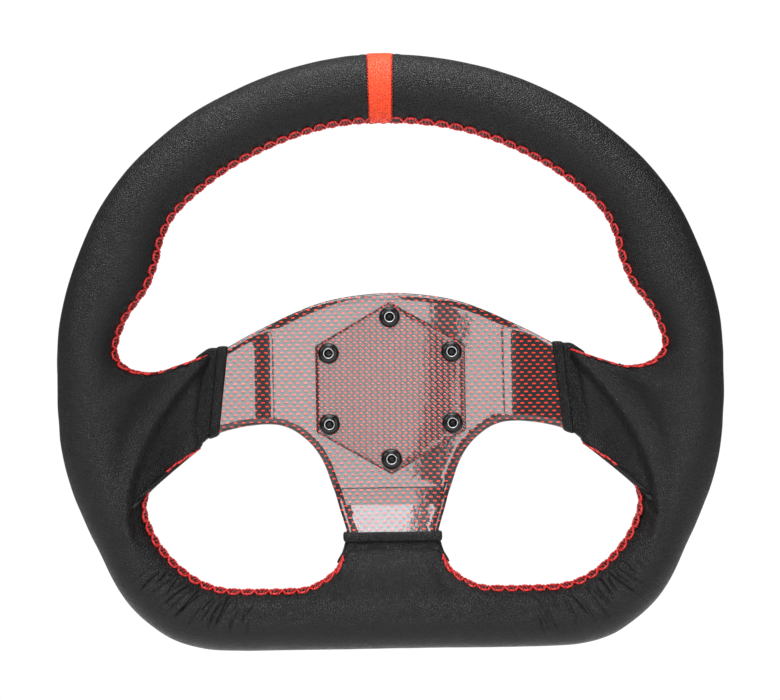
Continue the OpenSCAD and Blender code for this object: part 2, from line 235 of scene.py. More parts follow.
def leather(name, lo, hi, rough=(0.40, 0.56), grain=1.0, spec=0.42):
    m, nt, b = new_mat(name)
    g = G(nt)
    cell = g.voronoi(980.0, "DISTANCE_TO_EDGE")
    cell = g.range(cell, 0.0, 0.22, 0.0, 1.0, True)
    fine = g.noise(1500.0, 3.0, 0.6)
    soft = g.noise(55.0, 4.0, 0.55)
    col = g.mix(soft, lo, hi)
    pits = g.range(cell, 0.0, 1.0, 0.45, 1.0)
    col = g.mix(1.0, col, g.combine(pits, pits, pits), "MULTIPLY")
    nt.links.new(col, b.inputs["Base Color"])
    nt.links.new(g.range(g.noise(180.0, 3.0, 0.6), 0.3, 0.7, rough[0], rough[1]), b.inputs["Roughness"])
    b.inputs["Specular IOR Level"].default_value = spec
    b.inputs["Sheen Weight"].default_value = 0.004
    b.inputs["Sheen Roughness"].default_value = 0.5
    h = g.math("ADD", g.math("MULTIPLY", cell, 0.7), g.math("MULTIPLY", fine, 0.5))
    n1 = g.bump(h, 0.52 * grain, 0.00070)
    n2 = g.bump(g.noise(240.0, 2.0, 0.5), 0.10, 0.0006, n1)
    nt.links.new(n2, b.inputs["Normal"])
    return m

def thread_mat(name, lo, hi):
    m, nt, b = new_mat(name)
    g = G(nt)
    x, y, z = g.xyz()
    twist = g.math("SINE", g.math("MULTIPLY", g.math("ADD", g.math("ADD", x, g.math("MULTIPLY", y, 0.8)), z), 9500.0))
    f = g.range(twist, -1.0, 1.0, 0.0, 1.0)
    n = g.noise(900.0, 3.0, 0.6)
    nt.links.new(g.mix(g.math("MULTIPLY", f, n), lo, hi), b.inputs["Base Color"])
    b.inputs["Roughness"].default_value = 0.42
    b.inputs["Specular IOR Level"].default_value = 0.5
    b.inputs["Sheen Weight"].default_value = 0.05
    nt.links.new(g.bump(g.math("ADD", f, g.math("MULTIPLY", n, 0.4)), 0.5, 0.0001), b.inputs["Normal"])
    return m

def carbon(name, pitch, row, fw, fh, slash):
    """Woven carbon under lacquer: red tracer flecks between black tows."""
    m, nt, b = new_mat(name)
    g = G(nt)
    x, y, z = g.xyz()
    wob = g.range(g.noise(60.0, 2.0, 0.5), 0.0, 1.0, -0.00022, 0.00022)
    v = g.math("DIVIDE", g.math("ADD", z, wob), row * MM)
    r = g.math("FLOOR", v)
    par = g.math("MULTIPLY", g.math("FRACT", g.math("MULTIPLY", r, 0.5)), 2.0)
    u = g.math("ADD", g.math("DIVIDE", g.math("ADD", x, wob), pitch * MM), g.math("MULTIPLY", par, 0.5))
    fu = g.math("SUBTRACT", g.math("FRACT", u), 0.5)
    fv = g.math("SUBTRACT", g.math("FRACT", v), 0.62)
    # red fleck: a soft-edged bean
    eu = g.math("DIVIDE", fu, fw)
    ev = g.math("DIVIDE", fv, fh)
    if slash:
        ev = g.math("ADD", ev, g.math("MULTIPLY", eu, 0.35))
    d = g.math("ADD", g.math("POWER", g.math("ABSOLUTE", eu), 2.6), g.math("POWER", g.math("ABSOLUTE", ev), 2.2))
    red = g.range(d, 0.75, 1.25, 1.0, 0.0, True)
    # black tow standing under each fleck
    fv2 = g.math("ADD", fv, 0.44)
    tow = g.math("ADD", g.math("POWER", g.math("ABSOLUTE", g.math("DIVIDE", fu, 0.13)), 2.2),
                 g.math("POWER", g.math("ABSOLUTE", g.math("DIVIDE", fv2, 0.30)), 2.2))
    tow = g.range(tow, 0.6, 1.4, 1.0, 0.0, True)
    # grey filaments of the carbon between the flecks
    fil = g.noise(1.0, 2.0, 0.6, g.combine(g.math("MULTIPLY", x, 1100.0 if not slash else 900.0), 0.0, g.math("MULTIPLY", z, 5200.0)))
    base = g.mix(fil, (0.0012, 0.0012, 0.0014), (0.034, 0.034, 0.035))
    tone = g.noise(300.0, 2.0, 0.6)
    redc = g.mix(tone, (0.58, 0.010, 0.007), (1.0, 0.055, 0.020))
    col = g.mix(g.math("MULTIPLY", tow, 0.9), base, (0.004, 0.004, 0.005))
    col = g.mix(red, col, redc)
    nt.links.new(col, b.inputs["Base Color"])
    nt.links.new(g.math("MULTIPLY", g.math("SUBTRACT", 1.0, red, clamp=True), 0.10), b.inputs["Metallic"])
    h = g.math("ADD", g.math("MULTIPLY", red, 0.9), g.math("MULTIPLY", tow, -0.8))
    if slash:
        sl = g.math("ABSOLUTE", g.math("SUBTRACT", g.math("FRACT", g.math("ADD", g.math("MULTIPLY", u, 1.0), g.math("MULTIPLY", v, 0.5))), 0.5))
        pale = g.range(sl, 0.0, 0.10, 0.45, 0.0, True)
        col2 = g.mix(pale, col, (0.50, 0.45, 0.43))
        nt.links.new(col2, b.inputs["Base Color"])
        h = g.math("ADD", h, g.math("MULTIPLY", pale, 1.2))
    nt.links.new(g.bump(h, 0.55, 0.00028), b.inputs["Normal"])
    nt.links.new(g.range(red, 0.0, 1.0, 0.30, 0.42), b.inputs["Roughness"])
    b.inputs["Specular IOR Level"].default_value = 0.18
    b.inputs["Coat Weight"].default_value = 0.62 if slash else 1.0
    b.inputs["Coat Roughness"].default_value = 0.03
    b.inputs["Coat IOR"].default_value = 1.5
    cn = g.bump(g.noise(45.0, 2.0, 0.5), 0.06, 0.0008)
    cn = g.bump(g.noise(420.0, 2.0, 0.6), 0.02, 0.0006, cn)
    nt.links.new(g.bump(h, 0.085, 0.0003, cn), b.inputs["Coat Normal"])
    return m

def metal(name, colour, rough, axis_rings=True, metallic=1.0, wear=0.35, aniso=0.0):
    m, nt, b = new_mat(name)
    g = G(nt)
    x, y, z = g.xyz()
    rad = g.math("SQRT", g.math("ADD", g.math("MULTIPLY", x, x), g.math("MULTIPLY", z, z)))
    turn = g.noise(1.0, 3.0, 0.7, g.combine(g.math("MULTIPLY", rad, 2600.0), g.math("MULTIPLY", y, 2600.0), 0.0))
    cloud = g.noise(70.0, 4.0, 0.6)
    lo = tuple(c * 0.82 for c in colour)
    hi = tuple(min(1.0, c * 1.15) for c in colour)
    col = g.mix(cloud, lo, hi)
    rub = g.range(g.noise(240.0, 4.0, 0.6), 0.62, 0.80, 0.0, 0.18 * wear, True)
    col = g.mix(rub, col, tuple(min(1.0, c * 2.2 + 0.05) for c in colour))
    nt.links.new(col, b.inputs["Base Color"])
    b.inputs["Metallic"].default_value = metallic
    nt.links.new(g.range(g.math("ADD", turn, g.math("MULTIPLY", cloud, 0.4)), 0.3, 1.1, rough * 0.75, rough * 1.3), b.inputs["Roughness"])
    nt.links.new(g.bump(turn, 0.12 if axis_rings else 0.05, 0.00006), b.inputs["Normal"])
    if aniso:
        b.inputs["Anisotropic"].default_value = aniso
    return m

M_LEATHER = leather("black_leather_fine", (0.0022, 0.0023, 0.0025), (0.0046, 0.0048, 0.0051), (0.36, 0.46), 1.0, 0.24)
M_CUFF = leather("black_leather_cuff", (0.0020, 0.0021, 0.0023), (0.0042, 0.0044, 0.0046), (0.36, 0.46), 1.2, 0.22)
M_ORANGE = leather("orange_leather_band", (1.0, 0.045, 0.004), (1.0, 0.075, 0.008), (0.42, 0.54), 1.0, 0.35)
M_THREAD = thread_mat("red_waxed_thread", (0.34, 0.003, 0.003), (0.82, 0.014, 0.010))
# darker copy of the same red thread: painted shade, for thread that lies under the crossings and in the band's seam
# grooves
M_THREAD_SHADED = thread_mat("red_thread_painted_shade", (0.16, 0.002, 0.003), (0.52, 0.008, 0.010))
M_PLATE = carbon("carbon_red_tracer", 3.82, 1.90, 0.235, 0.19, False)
M_COVER = carbon("carbon_red_tracer_fine", 2.95, 1.45, 0.20, 0.24, True)
M_BLACKMETAL = metal("black_oxide", (0.007, 0.007, 0.0075), 0.24, False, 0.5, 0.0)
M_BARE = metal("bare_socket_rim", (0.50, 0.50, 0.51), 0.35, False, 1.0, 0.0)
M_HUB = metal("black_anodised", (0.020, 0.020, 0.022), 0.34, True, 0.85, 0.55)
M_ADAPTER = metal("red_anodised", (0.42, 0.020, 0.016), 0.28, True, 1.0, 0.5)
M_RING = metal("clear_anodised", (0.62, 0.63, 0.65), 0.26, True, 1.0, 0.2)
M_STEEL = metal("spring_steel", (0.50, 0.50, 0.51), 0.22, False)
M_BALL = metal("polished_steel", (0.72, 0.72, 0.74), 0.08, False, 1.0, 0.0)
M_ALU = metal("mill_aluminium", (0.60, 0.61, 0.62), 0.36, False)
M_ZINC = metal("zinc_plate", (0.55, 0.56, 0.58), 0.30, False)

def foam_mat():
    m, nt, b = new_mat("integral_foam")
    g = G(nt)
    nt.links.new(g.mix(g.noise(400.0, 4.0, 0.6), (0.020, 0.020, 0.020), (0.040, 0.040, 0.040)), b.inputs["Base Color"])
    b.inputs["Roughness"].default_value = 0.85
    nt.links.new(g.bump(g.voronoi(900.0), 0.5, 0.0003), b.inputs["Normal"])
    return m
def rubber_mat():
    m, nt, b = new_mat("nitrile")
    g = G(nt)
    nt.links.new(g.mix(g.noise(300.0), (0.010, 0.010, 0.010), (0.020, 0.020, 0.020)), b.inputs["Base Color"])
    b.inputs["Roughness"].default_value = 0.55
    nt.links.new(g.bump(g.noise(1500.0), 0.2, 0.0001), b.inputs["Normal"])
    return m
M_FOAM, M_RUBBER = foam_mat(), rubber_mat()

# ------------------------------------------------------------------ shape of the grip
YR, HD = -88.0, 15.0
PLATE_BACK, PLATE_T, RISE = 54.0, 5.0, 23.0
YB, YF = -PLATE_BACK, -PLATE_BACK - PLATE_T
RING_HALF = [
    [6, 128.6, 6, 160.7, 32, 0], [15, 128.2, 18, 160, 32, 0], [28.6, 126.2, 36, 157, 31.7, 0],
    [43.7, 122.2, 55, 151.8, 31.7, 0], [59.8, 115.9, 74.5, 144, 31.7, 0], [77, 106.7, 96, 132, 31.6, 0],
    [92, 95.6, 115.2, 116.8, 31.4, 0], [103, 85, 128, 103.5, 31.1, 0], [109, 73.5, 139, 88, 33.3, 0],
    [111.8, 62, 147.5, 70.5, 36.7, 0], [117, 49.5, 154.3, 52, 37.4, 0], [127, 35.5, 158.6, 34, 31.6, 0],
    [131.9, 20, 160, 18, 28.2, 0], [126.3, 11.5, 160, 8, 30, 0.15], [114, 9.2, 160.1, 1, 31, 0.45],
    [101.5, 12.9, 160.1, -6, 32, 0.8], [89, 17.6, 159.6, -14, 33, 1], [88.6, 9.8, 159, -23, 33, 1],
    [89.6, 0, 157, -35, 33.5, 1], [90.9, -10.5, 153.3, -48, 34, 1], [92.2, -20.5, 149.3, -58, 34.3, 1],
    [94, -28.3, 145, -68, 34.7, 0.95], [106.2, -36.1, 141.8, -74.5, 35, 0.6], [116, -45.5, 139, -80.5, 35.5, 0.25],
    [118.7, -56.4, 135.6, -88, 35.8, 0], [114.8, -68.6, 131.4, -95.5, 31.6, 0], [108, -78.7, 125.5, -103.5, 30.3, 0],
    [99.7, -86.7, 117, -111.5, 30.2, 0], [90.4, -92.5, 105, -119.3, 30.5, 0], [80, -95.4, 90, -123.6, 29.9, 0],
    [66, -96, 72, -124.6, 29.2, 0], [52, -96, 55, -124.6, 28.7, 0], [42, -95.3, 43, -124.6, 29.3, 0],
    [34.1, -92.3, 34, -124.6, 29.3, 0.2], [27.4, -87.3, 27, -124.6, 29, 0.5], [24, -81.5, 20.5, -124.6, 28.8, 0.85],
    [20, -77.6, 15, -124.6, 28.7, 1], [0, -77.4, 0, -124.6, 28.6, 1]]
N_HALF = len(RING_HALF)
def flip(r):
    return [-r[0], r[1], -r[2], r[3], r[4], r[5]]
RING_ROWS = RING_HALF + [flip(RING_HALF[i]) for i in range(N_HALF - 2, -1, -1)]

def set_back(iz):
    return PLATE_BACK * -1 - PLATE_T / 2 + 88.0 - RISE * np.where(iz < -70, 0.577, 0.424)

def rows_at(step_for):
    """Dense rows; step_for(i) gives the number of steps after control row i."""
    return smooth_rows(RING_ROWS, [step_for(i) for i in range(len(RING_ROWS) - 1)])

def section_points(rows, phis, d):
    """Points (n, m, 3) of the grip's sections, d inside the leather's surface."""
    ix, iz, ox, oz, w, p = [rows[:, i][:, None] for i in range(6)]
    p = np.clip(p, 0, 1)
    l0 = np.hypot(ox - ix, oz - iz)
    ux, uz = (ox - ix) / l0, (oz - iz) / l0
    ln = l0 - 2 * d
    tr = 1 - (w / 2 - d) / ln
    a = phis[None, :]
    t = (1 - np.cos(a)) / 2
    s = t * ln
    x = t / tr
    h0, h1, rad = HD - d, 8 - d, 7 - d
    hr = lambda q: np.sqrt(np.clip(1 - q * q, 0, None))
    plain = h0 * hr(1 - np.minimum(x, 1))
    pad = (h1 + (h0 - h1) * ease(x)) * np.where(s < rad, hr(1 - np.minimum(s / rad, 1)), 1)
    h = np.where(t > tr, h0 * hr((t - tr) / (1 - tr)), (1 - p) * plain + p * pad)
    yc = YR + p * set_back(iz) * (1 - ease(x))
    y = yc + np.where(np.sin(a) >= 0, -h, h)
    return np.stack([ix + ux * (d + s), y, iz + uz * (d + s)], -1)

def off_centre(V):
    """The band was sewn 3 mm left of the middle; the leather beside it follows."""
    V = np.array(V, float)
    x, z = V[..., 0].copy(), V[..., 2]
    slim = 0.08 + 0.06 * np.clip((144 - z) / 16, -1, 1)
    V[..., 0] *= 1 - slim * np.exp(-(x / 14.0) ** 2) * ease((z - 95) / 15)
    V[..., 0] += -3.0 * np.exp(-(V[..., 0] / 30.0) ** 2) * ease((V[..., 2] - 95) / 15)
    return V

def grid_normals(P, closed_i):
    if closed_i:
        di = np.roll(P, -1, 0) - np.roll(P, 1, 0)
    else:
        di = np.gradient(P, axis=0)
    dk = np.roll(P, -1, 1) - np.roll(P, 1, 1)
    n = np.cross(di, dk)
    n /= np.linalg.norm(n, axis=2)[..., None] + 1e-12
    c = P.mean(1, keepdims=True)
    sgn = np.sign(((P - c) * n).sum(2).sum(1))[:, None, None]
    return n * np.where(sgn == 0, 1, sgn)

# raised edge that runs from the top of each side cuff down beside the lower opening
RIDGE = np.array([[86.5, 19.6], [91, 15], [97.4, 8.2], [104.8, -0.8], [112.3, -12], [118.2, -23], [122.4, -33],
                  [125.3, -42], [126.8, -51], [127, -60], [125.6, -68], [122.4, -74.5], [117, -81]])
def poly_dist(px, pz, line):
    """Signed distance to a polyline (positive on its left) and place along it."""
    best = np.full(px.shape, 1e9)
    sign = np.ones(px.shape)
    along = np.zeros(px.shape)
    acc = 0.0
    for (ax, az), (bx, bz) in zip(line[:-1], line[1:]):
        dx, dz = bx - ax, bz - az
        L = math.hypot(dx, dz)
        t = np.clip(((px - ax) * dx + (pz - az) * dz) / L ** 2, 0, 1)
        qx, qz = ax + t * dx, az + t * dz
        d = np.hypot(px - qx, pz - qz)
        cr = dx * (pz - az) - dz * (px - ax)
        m = d < best
        best = np.where(m, d, best)
        sign = np.where(m, np.sign(cr), sign)
        along = np.where(m, acc + t * L, along)
        acc += L
    return best * sign, along, acc

def creases(seed, n, along0, along1, side):
    """Hand-shaped gathers: each is a short wandering line across the lower bend."""
    rng = np.random.default_rng(seed)
    out = []
    for i in range(n):
        f = (i + rng.uniform(-0.35, 0.35)) / n
        out.append(dict(c=along0 + (along1 - along0) * f, lean=rng.uniform(0.15, 0.6), deep=rng.uniform(0.35, 1.0),
                        a0=rng.uniform(0.40, 0.85), a1=rng.uniform(1.45, 2.2), w=rng.uniform(0.30, 0.48),
                        ph=rng.uniform(0, 6.28), wav=rng.uniform(0.3, 0.9)))
    return out

def shape_offset(P, N, phis, rows, along):
    """Height to add along the normal: ridge, shelf, scoop, gathers, seam pull."""
    x, y, z = P[..., 0], P[..., 1], P[..., 2]
    ax = np.abs(x)
    front = ease((-N[..., 1] + 0.05) / 0.55)
    back = ease((N[..., 1] + 0.05) / 0.55)
    d, al, tot = poly_dist(ax, z, RIDGE)
    d = -d                                     # positive towards the cuff and the lower opening
    fade = ease(al / 14.0) * ease((tot - al) / 26.0)
    near = ease((135 - ax) / 10) * ease((z + 92) / 12) * ease((24 - z) / 3)
    lip = 1.35 * np.exp(-(d / 2.6) ** 2)
    shelf = -1.3 * np.exp(-((d + 8) / 6.0) ** 2)
    scoop = -2.1 * ease(d / 5.5) * ease((26 - d) / 9)
    off = front * near * fade * (lip + shelf + scoop)
    # lower spoke: two soft folds that flare from the cuff's corners to the rim
    f1 = np.array([[22.5, -78], [24.5, -85], [30, -93], [40, -100], [54, -104]])
    d2, al2, t2 = poly_dist(ax, z, f1)
    near2 = ease(al2 / 6.0) * ease((t2 - al2) / 14.0) * ease((62 - ax) / 10) * ease((-74 - z) / 4)
    off += front * near2 * (0.5 * np.exp(-((d2 - 1.5) / 2.2) ** 2) - 0.65 * np.exp(-((d2 + 3) / 3.2) ** 2))
    # hollow where the grip meets the upper corner of the side pads
    off += front * -0.7 * np.exp(-(((ax - 128) / 9) ** 2 + ((z - 6) / 5) ** 2))
    # slow unevenness of hand-stretched leather
    q = P.reshape(-1, 3)
    off += (0.16 * vnoise(q, 23.0, 3) + 0.05 * vnoise(q, 8.0, 5)).reshape(x.shape)
    # pull of the seam round the inner edge
    a = np.where(phis > np.pi, phis - 2 * np.pi, phis)[None, :]
    inner = np.exp(-((a - 0.24) / 0.055) ** 2)
    plain = 1 - np.clip(rows[:, 5], 0, 1)[:, None]
    off += -0.35 * inner * (0.35 + 0.65 * plain)
    # gathers in the two lower bends
    s = along[:, None]
    for sgn, seed in ((1, 11), (-1, 29)):
        side = np.where(np.sign(x) == sgn, 1.0, 0.0)
        mid = -74.0
        reg = side * ease((ax - 58) / 10) * ease((126 - ax) / 8) * ease((-80 - z) / 8)
        if reg.max() <= 0:
            continue
        sa = np.abs(s - S_MID)
        for c in creases(seed, 24, 60.0, 130.0, sgn):
            line = c["c"] + 9.0 * c["lean"] * (a - 0.9) + c["wav"] * np.sin(3.0 * a + c["ph"])
            run = ease((a - c["a0"]) / 0.25) * ease((c["a1"] - a) / 0.4)
            dd = sa - line
            off += reg * run * c["deep"] * (-1.15 * np.exp(-(dd / c["w"]) ** 2) + 0.30 * np.exp(-((dd - 1.6) / 1.1) ** 2))
            run2 = ease((-a - 0.35) / 0.25) * ease((c["a1"] * 0.8 + a) / 0.4)
            off += reg * run2 * c["deep"] * -0.3 * np.exp(-(dd / (c["w"] * 1.3)) ** 2)
    # fine creases beside the upper corner of each side pad, and one on the upper left
    for (cx, cz, ang, ln, dp) in ((112, -0.5, 62, 5, .22), (115.5, -1.5, 56, 6, .28), (119, -3, 50, 7, .24), (123, -4, 44, 6, .2),
                                  (118, 2, 75, 4, .18), (-116, -2, 128, 7, .26), (-120, -4.5, 134, 6, .22), (-124, -3, 140, 5, .18),
                                  (-117.5, 68.5, 160, 5, .3), (-83, 97, 125, 4, .22), (-44.5, 121, 100, 5, .2), (119, 66, 20, 4, .18)):
        if off.size and (np.sign(cx) * x).max() > 0:
            ca, sa2 = math.cos(math.radians(ang)), math.sin(math.radians(ang))
            uu = (x - cx) * ca + (z - cz) * sa2
            vv = -(x - cx) * sa2 + (z - cz) * ca
            off += front * -dp * np.exp(-(uu / ln) ** 4) * np.exp(-(vv / 0.5) ** 2)
    return off

def stations():
    def step(i):
        j = i if i < N_HALF - 1 else 2 * N_HALF - 3 - i   # mirror index of the interval
        base = 11
        if 23 <= j <= 29:
            base = 42
        elif 12 <= j <= 23 or 31 <= j:
            base = 14
        return base
    return rows_at(step)

ROWS = stations()
CREST = ROWS[:, 2:4] - (ROWS[:, 2:4] - ROWS[:, 0:2]) / np.linalg.norm(ROWS[:, 2:4] - ROWS[:, 0:2], axis=1)[:, None] * ROWS[:, 4:5] / 2
ALONG = np.concatenate([[0], np.cumsum(np.linalg.norm(np.diff(CREST, axis=0), axis=1))])
S_MID = ALONG[len(ALONG) // 2]
MSEC = 150
lin = np.arange(MSEC) / MSEC
PHIS = 2 * np.pi * lin - 0.30 * np.sin(2 * 2 * np.pi * lin) * 0.5

def build_wrap():
    P = section_points(ROWS, PHIS, 0.0)
    N = grid_normals(P, False)
    off = shape_offset(P, N, PHIS, ROWS, ALONG)
    # seam allowance beside the centring band stands up a little
    ax = np.abs(P[..., 0])
    top = (P[..., 2] > 100)
    edge = np.where(top, 0.30 * ease((10.6 - ax) / 1.6) - 0.75 * np.exp(-((ax - 6.0) / 0.55) ** 2), 0.0)
    P = off_centre(P + N * (off + edge)[..., None])
    n, m = P.shape[:2]
    V = P.reshape(-1, 3)
    F = grid_faces(n, m, False, True)
    # close each end with an inward ring so the cut edge of the leather shows as a fold
    for i, dx in ((0, -0.0), (n - 1, 0.0)):
        c = P[i].mean(0)
        r1 = c + (P[i] - c) * 0.93
        b = len(V)
        V = np.vstack([V, r1, c[None]])
        for k in range(m):
            q = (k + 1) % m
            F.append((i * m + k, i * m + q, b + q, b + k))
            F.append((b + k, b + q, b + m))
    ob = mesh_obj("leather_wrap_skin", V, F, [M_LEATHER])
    fix_normals(ob)
    return ob, P, N

wrap, WP, WN = build_wrap()
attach(wrap, "wheel"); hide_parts("leather_wrap")

def build_foam():
    rows = rows_at(lambda i: 3)
    rows = np.vstack([rows])
    ph = np.arange(40) / 40 * 2 * np.pi
    P = section_points(rows, ph, 3.4)
    n, m = P.shape[:2]
    F = grid_faces(n, m, True, True)
    ob = mesh_obj("foam_body", P.reshape(-1, 3), F, [M_FOAM])
    fix_normals(ob)
    return ob
foam = build_foam()
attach(foam, "wheel"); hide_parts("foam_grip")

# ------------------------------------------------------------------ centring band
def build_band():
    half = 5.9
    xs = np.concatenate([[-half - 0.02, -half, -half + 0.12, -half + 0.35, -half + 0.8], np.linspace(-half + 1.4, half - 1.4, 26),
                         [half - 0.8, half - 0.35, half - 0.12, half, half + 0.02]])
    lift = 0.62 * np.sqrt(np.clip(1 - np.clip((np.abs(xs) - (half - 0.85)) / 0.87, 0, 1) ** 2, 0, 1)) - 0.35 * (np.abs(xs) > half)
    rows = np.array([[x, 128.6, x, 160.75 + 0.1 * math.cos(x / half * math.pi / 2), 32.1, 0] for x in xs])
    ph = np.arange(160) / 160 * 2 * np.pi
    P = section_points(rows, ph, 0.0)
    c = P.mean(1, keepdims=True)
    N = P - c; N[..., 0] = 0
    N /= np.linalg.norm(N, axis=2)[..., None]
    q = P.reshape(-1, 3)
    bump = (0.05 * vnoise(q, 3.1, 8) + 0.03 * vnoise(q, 1.3, 9)).reshape(P.shape[:2])
    taper = 1 - 0.10 * ease((ph - 0.0) / 1.2) * 0
    P = P + N * (lift[:, None] + bump)[..., None]
    P = off_centre(P)
    n, m = P.shape[:2]
    V = P.reshape(-1, 3)
    F = grid_faces(n, m, False, True)
    for i in (0, n - 1):
        cc = P[i].mean(0); b = len(V)
        V = np.vstack([V, cc[None]])
        F += [(i * m + k, i * m + (k + 1) % m, b) for k in range(m)]
    ob = mesh_obj("centring_band", V, F, [M_ORANGE])
    fix_normals(ob)
    return ob
band = build_band()
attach(band, "wheel"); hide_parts("centre_marker")

def band_seams():
    parts = []
    for sg in (-1, 1):
        k = np.arange(0, 2 * np.pi * 15.6, 1.45)
        for s in k:
            a0 = s / 15.6
            pts = []
            for t in np.linspace(0, 1, 6):
                a = a0 + (0.95 / 15.6) * t
                row = np.array([[sg * 6.15, 128.6, sg * 6.15, 160.7, 32.1, 0]])
                p = section_points(row, np.array([a % (2 * np.pi)]), -0.02 - 0.28 * math.sin(math.pi * t))[0, 0]
                p[0] = sg * (6.05 + 0.30 * t)
                pts.append(p)
            parts.append(tube_along(pts, 0.26, 6))
    v, f = join_meshes(parts)
    # the band's edge stitches use the shaded copy of the red thread: painted shade of the seam groove
    ob = mesh_obj("band_edge_stitches", off_centre(v), f, [M_THREAD_SHADED])
    fix_normals(ob)
    return ob
bs = band_seams()
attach(bs, "wheel")

# ------------------------------------------------------------------ cross stitching
def surf_at(rowf, a):
    """Stub that returns None; rowf and a are not used."""
    return None

def stitch_line(rows, name, node, flipx=False, seed=1):
    """Two threads that run along one side, cross over the seam, and run along the other."""
    rows = np.asarray(rows, float)
    # arc length along the inner edge
    e = rows[:, 0:2]
    s = np.concatenate([[0], np.cumsum(np.linalg.norm(np.diff(e, axis=0), axis=1))])
    L = s[-1]
    T = 6.6
    nper = max(2, int(round(L / T)))
    T = L / nper
    rng = np.random.default_rng(seed)
    A_F, A_B = 0.40, -0.06          # section angles of the front and back rows of holes
    parts = []
    def place(u, v, lift):
        r = np.array([[np.interp(u, s, rows[:, i]) for i in range(6)]])
        p = np.clip(r[0, 5], 0, 1)
        a = v * (1 - 0.25 * p) + 0.14 * p
        lift = lift + 0.75 * p
        q = section_points(r, np.array([a % (2 * np.pi)]), 0.0)[0, 0]
        c = section_points(r, np.array([a % (2 * np.pi)]), 3.0)[0, 0]
        n = q - c
        n /= np.linalg.norm(n) + 1e-9
        return q + n * (lift - 0.30 * (0.35 + 0.65 * (1 - p)) * math.exp(-((a - 0.24) / 0.14) ** 2))
    R = 0.56
    for k in range(nper):
        for th in (0, 1):
            u0 = (k + 0.0) * T
            side0, side1 = (A_F, A_B) if (k + th) % 2 == 0 else (A_B, A_F)
            j = rng.uniform(-0.12, 0.12, 4)
            run = 0.50 * T
            # run along one side, bowed slightly away from the seam
            pts = []
            for t in np.linspace(0, 1, 9):
                bow = 0.045 * math.sin(math.pi * t) * (1 if side0 == A_F else -1)
                lift = -0.45 + 0.95 * min(1.0, math.sin(math.pi * t) * 2.2)
                pts.append(place(min(max(u0 + j[0] + run * t, 0), L), side0 + bow, lift))
            parts.append(tube_along(pts, R * np.array([0.75, .95, 1, 1, 1, 1, 1, .95, .75]), 8))
            # cross over the seam
            pts = []
            over = 0.20 if th == 0 else -0.12
            for t in np.linspace(0, 1, 11):
                v = side0 + (side1 - side0) * t
                lift = -0.45 + (0.95 + over * math.sin(math.pi * t)) * min(1.0, math.sin(math.pi * t) * 2.4)
                pts.append(place(min(max(u0 + run + j[1] + (T - run) * t, 0), L), v, lift))
            parts.append(tube_along(pts, R * np.array([0.75, .92, 1, 1, 1, 1, 1, 1, 1, .92, .75]), 8))
    # ladder of thread under the crossings, in the shaded copy of the red thread: painted shade
    dark = []
    k = 0
    while k * 1.65 < L - 1:
        pts = []
        for t in np.linspace(0, 1, 7):
            vv = A_F * 0.78 + (A_B - 0.05 - A_F * 0.78) * t
            pts.append(place(min(k * 1.65 + 1.1 * t, L), vv, -0.30 + 0.42 * math.sin(math.pi * t)))
        dark.append(tube_along(pts, 0.42 + 0.05 * math.sin(k * 2.1), 6))
        k += 1
    dv, df = join_meshes(dark)
    if flipx:
        dv = dv * np.array([-1, 1, 1])
        df = [q[::-1] for q in df]
    od = mesh_obj(name + "_under", off_centre(dv), df, [M_THREAD_SHADED])
    fix_normals(od)
    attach(od, "wheel")
    v, f = join_meshes(parts)
    if flipx:
        v = v * np.array([-1, 1, 1])
        f = [q[::-1] for q in f]
    ob = mesh_obj(name, off_centre(v), f, [M_THREAD])
    fix_normals(ob)
    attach(ob, "wheel"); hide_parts(node)
    return ob

top_ctrl = [flip(RING_HALF[i]) for i in range(16, -1, -1)] + [RING_HALF[i] for i in range(17)]
low_ctrl = [RING_HALF[i] for i in range(21, 36)]
top_dense = smooth_rows(top_ctrl, [10] * (len(top_ctrl) - 1))
low_dense = smooth_rows(low_ctrl, [10] * (len(low_ctrl) - 1))
stitch_line(top_dense, "cross_stitch_top", "stitching_top", seed=5)
stitch_line(low_dense, "cross_stitch_lower_right", "stitching_lower_right", seed=6)
stitch_line(low_dense, "cross_stitch_lower_left", "stitching_lower_left", flipx=True, seed=7)

# ------------------------------------------------------------------ spoke plate
PLATE_HALF = [[0, 47.0], [7, 46.8], [13, 46.3], [20, 45.5], [27.5, 44.2], [34, 42.6], [40.5, 40.5],
    [50, 36.6], [60, 31.9], [70, 26.9], [78, 22.4], [85, 18.4], [88, 13.5], [100, 8.5], [113, 5], [149, 5],
    [149, -19], [100, -20], [89, -17], [87, -22], [84, -20.8], [79, -19.4], [73, -18.2], [67, -17.5], [61.5, -17.2],
    [55, -17.8], [49, -20], [43.5, -23.8], [38.8, -28.4], [35.1, -33.8], [32.3, -39.8], [30.2, -46],
    [27.9, -52.5], [26, -59], [24.2, -64.5], [22.6, -70], [22.2, -76], [18, -81], [18, -117]]

def bend(s, a, b, r):
    """Piecewise rise along an arm: 0 before a, RISE after b, rounded by r."""
    k = RISE / (b - a)
    def sp(t):            # soft ramp
        return np.where(t < -r, 0, np.where(t > r, t, (t + r) ** 2 / (4 * r)))
    return k * (sp(s - a) - sp(s - b))

def plate_mid(x, z):
    side = bend(np.abs(x), 62.0, 128.0, 7.0)
    low = bend(-z, 52.0, 96.0, 6.0)
    w = ease((-z - 26) / 8.0)
    return YB - PLATE_T / 2 - (side * (1 - w) + low * w)

def outline_smooth():
    half = np.array(PLATE_HALF, float)
    # the visible edges are curves; the hidden ends stay straight
    A = smooth_rows(half[0:12], [5] * 11)
    B = half[12:19]
    C = smooth_rows(half[19:37], [5] * 17)
    D = half[37:]
    h = np.vstack([A, B, C, D])
    m = h[h[:, 0] > 0.001][::-1] * np.array([-1, 1])
    return np.vstack([h, m])

